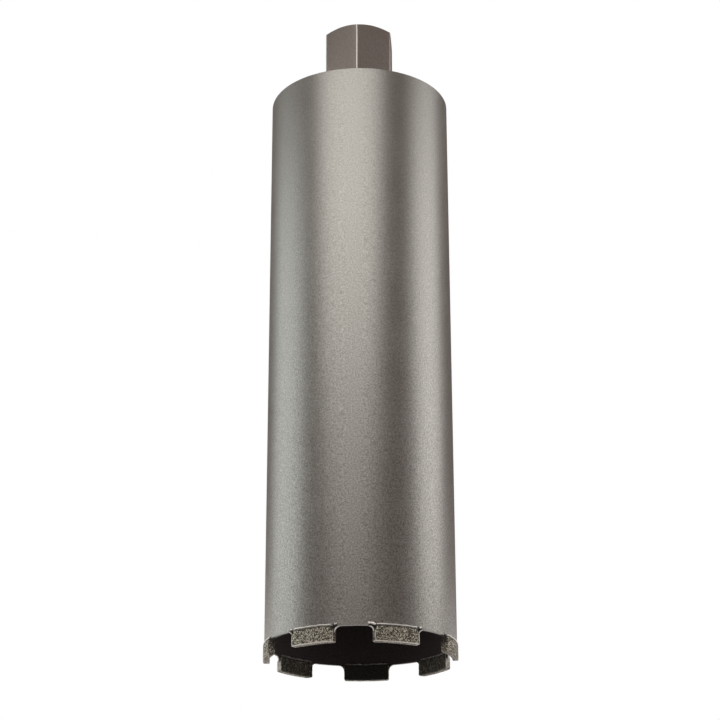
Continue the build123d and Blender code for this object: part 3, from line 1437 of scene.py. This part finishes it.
    def build(self, number: int, material: bpy.types.Material) -> bpy.types.Object:
        """Make the solder of one segment on its seat.

        Args:
            number: The segment's number, from 1.
            material: The finish that all the solder shares.

        Returns:
            The piece.
        """
        barrel = self.crown.barrel
        grids = [
            self.layer(),
            self.seam(barrel.outer_radius, self.outer_seam_stain),
            self.seam(barrel.inner_radius, self.inner_seam_stain),
            # The dark strips below both seams are painted shadows.
            self.seam_shadow_strip(barrel.outer_radius + self.skin),
            self.seam_shadow_strip(barrel.inner_radius - self.skin),
        ]
        for side in (-1, 1):
            end = self.crown.end(number, side)
            grids += [self.rim(side, end.web_stain), self.lip(side, end), self.burnt_skin(side, end)]
        draft = MeshDraft()
        for grid in grids:
            grid.points = self.crown.seated(grid.points, number)
            draft.add(grid)
        piece = draft.build(f"solder_{number}", material, self.sharp)
        mount_piece(piece, Slot.SOLDER, f"braze_{number}")
        return piece


@dataclass
class Softbox:
    """A soft lamp that faces the bit.

    Its azimuth is measured from -Y towards +X, and its elevation from the bit's middle.
    """

    name: str
    azimuth: float
    elevation: float
    width: float
    height: float
    power: float
    colour: Colour = (1.0, 1.0, 1.0)
    distance: float = 1.3
    aim: tuple[float, float, float] = (0.0, 0.0, 200 * MM)

    def hang(self) -> None:
        """Hang the lamp in the scene."""
        lamp = bpy.data.lights.new(self.name, "AREA")
        lamp.shape = "RECTANGLE"
        lamp.size, lamp.size_y = self.width, self.height
        lamp.energy = self.power
        lamp.color = self.colour
        holder = bpy.data.objects.new(self.name, lamp)
        turn, tilt = math.radians(self.azimuth), math.radians(self.elevation)
        away = Vector((math.sin(turn) * math.cos(tilt), -math.cos(turn) * math.cos(tilt), math.sin(tilt)))
        holder.location = Vector(self.aim) + away * self.distance
        holder.rotation_euler = away.to_track_quat("Z", "Y").to_euler()
        bpy.context.scene.collection.objects.link(holder)


@dataclass
class Studio:
    """The photograph's camera, the lamps, the pale floor and the white surroundings."""

    camera_place: tuple[float, float, float] = (72.8 * MM, -1087.8 * MM, -228.7 * MM)
    camera_yaw: float = 3.83
    camera_pitch: float = 20.775
    camera_roll: float = -0.124
    lens: float = 96.21
    sensor: float = 36.0
    sight: tuple[float, float] = (0.01, 20.0)
    floor_size: float = 24.0
    floor_gap: float = 0.2 * MM
    floor_colour: Colour = (0.82, 0.82, 0.81)
    floor_roughness: float = 0.8
    near_floor: float = 0.25
    far_floor: float = 1.0
    room_light: Colour = (0.129, 0.0845, 0.0705)
    ground_light: Colour = (0.111, 0.092, 0.082)
    ground_glow: Colour = (0.46, 0.44, 0.42)
    horizon: tuple[float, float] = (-0.05, 0.12)
    glow_edge: tuple[float, float] = (-0.38, -0.12)
    # Each lamp has its name, azimuth, elevation, width, height, power and, if it isn't white, its colour.
    lamps: tuple[Softbox, ...] = (
        Softbox("key_lamp", -9, 35, 1.67, 0.8, 10.62, (0.983, 1.0, 0.987)),
        Softbox("front_lamp", -9, 7, 1.0, 0.24, 0.83),
        Softbox("left_lamp", -95.5, 12.7, 1.2, 0.98, 6.79, (0.895, 0.98, 1.0)),
        Softbox("right_lamp", 95.5, 18, 0.97, 0.98, 6.93, (0.974, 0.996, 1.0)),
        Softbox("back_left_lamp", -140, -5, 1.0, 0.3, 1.5),
        Softbox("back_right_lamp", 142, -5, 1.0, 0.3, 1.5),
        Softbox("low_lamp", 0, -62, 1.0, 0.6, 0.3, (0.9, 0.85, 1.0)),
        Softbox("top_lamp", 0, 88, 0.9, 0.9, 1.5),
        Softbox("back_lamp", 180, 66, 1.6, 0.8, 6.0),
        Softbox("back_low_lamp", 180, -28, 1.6, 0.7, 4.0),
        Softbox("left_low_lamp", -105, -32, 1.2, 0.6, 2.0),
        Softbox("right_low_lamp", 105, -32, 1.2, 0.6, 2.0),
    )

    def set_camera(self) -> None:
        """Put the camera where the photograph was taken from."""
        data = bpy.data.cameras.new("photo_camera")
        data.lens, data.sensor_width = self.lens, self.sensor
        data.clip_start, data.clip_end = self.sight
        camera = bpy.data.objects.new("photo_camera", data)
        yaw, pitch = math.radians(self.camera_yaw), math.radians(self.camera_pitch)
        ahead = Vector((-math.sin(yaw) * math.cos(pitch), math.cos(yaw) * math.cos(pitch), math.sin(pitch)))
        roll = Quaternion((0, 0, 1), math.radians(self.camera_roll))
        camera.rotation_euler = (ahead.to_track_quat("-Z", "Y") @ roll).to_euler()
        camera.location = self.camera_place
        bpy.context.scene.collection.objects.link(camera)
        bpy.context.scene.camera = camera

    def surround(self) -> None:
        """Make the surroundings white to the eye and dim to the light that falls on the bit.

        What metal mirrors well below the horizon is a pale ground, so that it is grey from above too.
        """
        world = bpy.data.worlds.new("studio")
        world.use_nodes = True
        bpy.context.scene.world = world
        desk = NodeDesk(world.node_tree)
        path = desk.node("ShaderNodeLightPath")
        rays = ("Is Camera Ray", "Is Transmission Ray", "Is Glossy Ray")
        straight, through, glossy = (Signal(desk, path.outputs[name]) for name in rays)
        height = desk.height(desk.signal("ShaderNodeTexCoord", output="Generated"))
        upward = height.step(*self.horizon)
        mirrored = glossy * (1 - height.step(*self.glow_edge))
        ground = desk.mix(mirrored, self.ground_light, self.ground_glow)
        dim = desk.mix(upward, ground, self.room_light)
        room = desk.signal("ShaderNodeBackground", None, {"Color": dim})
        white = desk.signal("ShaderNodeBackground", None, {"Color": (1.0, 1.0, 1.0, 1.0)})
        mixed = desk.signal("ShaderNodeMixShader", None, {0: straight + through, 1: room, 2: white})
        desk.node("ShaderNodeOutputWorld", None, {"Surface": mixed})

    def lay_floor(self) -> None:
        """Lay the pale floor, which the camera sees from above only and which hides no light.

        It takes shadows near the bit, and further off it goes over into the white surroundings.
        """
        half = self.floor_size / 2
        mesh = bpy.data.meshes.new("floor")
        corners = [(-half, -half), (half, -half), (half, half), (-half, half)]
        mesh.from_pydata([(x, y, -self.floor_gap) for x, y in corners], [], [(0, 1, 2, 3)])
        material = bpy.data.materials.new("pale_floor")
        material.use_nodes = True
        desk = NodeDesk(material.node_tree)
        camera = desk.signal("ShaderNodeLightPath", output="Is Camera Ray")
        above = 1 - desk.signal("ShaderNodeNewGeometry", output="Backfacing")
        sockets = {"Base Color": (*self.floor_colour, 1.0), "Roughness": self.floor_roughness}
        paint = desk.signal("ShaderNodeBsdfPrincipled", None, sockets)
        clear = desk.signal("ShaderNodeBsdfTransparent")
        near = 1 - desk.radius(desk.place()).step(self.near_floor, self.far_floor)
        shader = desk.signal("ShaderNodeMixShader", None, {0: camera * above * near, 1: clear, 2: paint})
        desk.node("ShaderNodeOutputMaterial", None, {"Surface": shader})
        mesh.materials.append(material)
        floor = bpy.data.objects.new("floor", mesh)
        bpy.context.scene.collection.objects.link(floor)

    def build(self) -> None:
        """Set the whole studio up."""
        bpy.context.scene.view_settings.view_transform = "Standard"
        self.set_camera()
        self.surround()
        self.lay_floor()
        for lamp in self.lamps:
            lamp.hang()


def dress_node(node: bpy.types.Object, finish: Finish) -> None:
    """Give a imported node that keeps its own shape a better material.

    Args:
        node: The node.
        finish: Its new finish.
    """
    material = finish.material()
    for slot in node.material_slots:
        slot.material = material
    LOG.info("%s keeps its solid, in %s", node.name, finish.name)


def main() -> None:
    """Build the bit's pieces in order and set up the studio."""
    logging.basicConfig(level=logging.INFO, format="%(name)s: %(message)s")
    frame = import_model()
    barrel = Barrel.from_frame()
    lacquer = BarrelLacquer(
        inner_radius=barrel.inner_radius, outer_radius=barrel.outer_radius, top=barrel.top
    )
    barrel.build(lacquer)
    ThreadedHub.from_frame(frame["record"]).build(HubLacquer())
    dress_node(frame["nodes"]["back_plate"], SatinLacquer(name="plate_lacquer"))
    Weld.round_the_hub().build(SatinLacquer(name="hub_weld_lacquer"))
    Weld.inside_the_rim().build(SatinLacquer(name="rim_weld_lacquer"))
    crown = Crown.from_frame(barrel, frame["nodes"])
    matrix = SinteredMatrix().material()
    solder = SilverSolder().material()
    for number in range(1, crown.count + 1):
        CuttingSegment(crown).build(number, matrix)
        SolderJoint(crown).build(number, solder)
    Studio().build()


if __name__ == "__main__":
    main()
